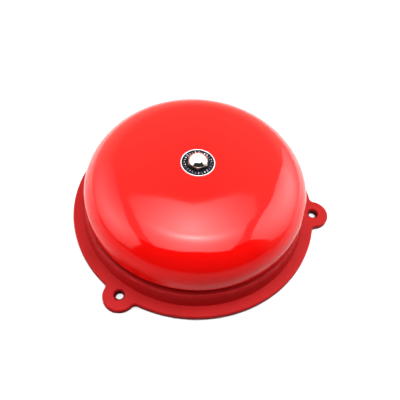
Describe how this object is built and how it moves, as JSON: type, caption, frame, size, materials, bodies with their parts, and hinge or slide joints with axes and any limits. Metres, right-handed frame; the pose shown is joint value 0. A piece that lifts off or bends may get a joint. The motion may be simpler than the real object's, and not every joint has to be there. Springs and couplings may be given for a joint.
{
  "type": "fire alarm bell",
  "caption": "Wall-mounted fire alarm bell: a red domed gong on a round cast base with fixing ears, struck from inside by a sprung solenoid plunger.",
  "frame": {"origin": "centre of the three wall screw holes, on the base's wall face", "axes": "+Z points out of the wall along the gong's axis; +Y points up once the bell hangs, towards the upper ear, with the cable entry at -Y; the striker drives along +X"},
  "size_m": [0.173, 0.1841, 0.0572],
  "materials": {
    "gong_enamel": "gloss",
    "base_enamel": "satin",
    "chrome_nut": "polished",
    "printed_disc": "satin",
    "zinc_plate": "satin",
    "lamination_steel": "matte",
    "plunger_steel": "satin",
    "brass": "satin",
    "small_screw_steel": "satin",
    "black_rubber": "matte",
    "bobbin_nylon": "satin",
    "copper_winding": "gloss",
    "coil_tape": "satin",
    "live_insulation": "satin",
    "neutral_insulation": "satin"
  },
  "bodies": {
    "base": {"gong": "gong_enamel", "base_casting": "base_enamel", "cap_nut": "chrome_nut", "name_disc": "printed_disc", "gong_post": "zinc_plate", "post_washer": "zinc_plate", "post_spring_washer": "zinc_plate", "post_nut": "zinc_plate", "core_screws": "zinc_plate", "core_washers": "zinc_plate", "core_rivets": "zinc_plate", "earth_washer": "zinc_plate", "core_yoke": "lamination_steel", "return_spring": "plunger_steel", "guide_bush": "brass", "terminal_tubes": "brass", "earth_screw": "brass", "coil_terminals": "brass", "terminal_clamp_screws": "small_screw_steel", "terminal_fixing_screw": "small_screw_steel", "gong_washer": "black_rubber", "stop_buffer": "black_rubber", "cable_grommet": "black_rubber", "lead_grommets": "black_rubber", "coil_bobbin": "bobbin_nylon", "terminal_body": "bobbin_nylon", "coil_winding": "copper_winding", "coil_tape": "coil_tape", "lead_wire_live": "live_insulation", "lead_wire_neutral": "neutral_insulation"},
    "striker": {"striker_plunger": "plunger_steel", "striker_rod": "plunger_steel", "rod_pin": "plunger_steel", "hammer_tip": "brass"}
  },
  "joints": [
    {"name": "striker_slide", "type": "slide", "parent": "base", "child": "striker", "axis": [1, 0, 0], "range_m": [0, 0.0044], "stiffness_N_per_m": 300, "springref_m": -0.003, "deforming": ["return_spring"]}
  ]
}
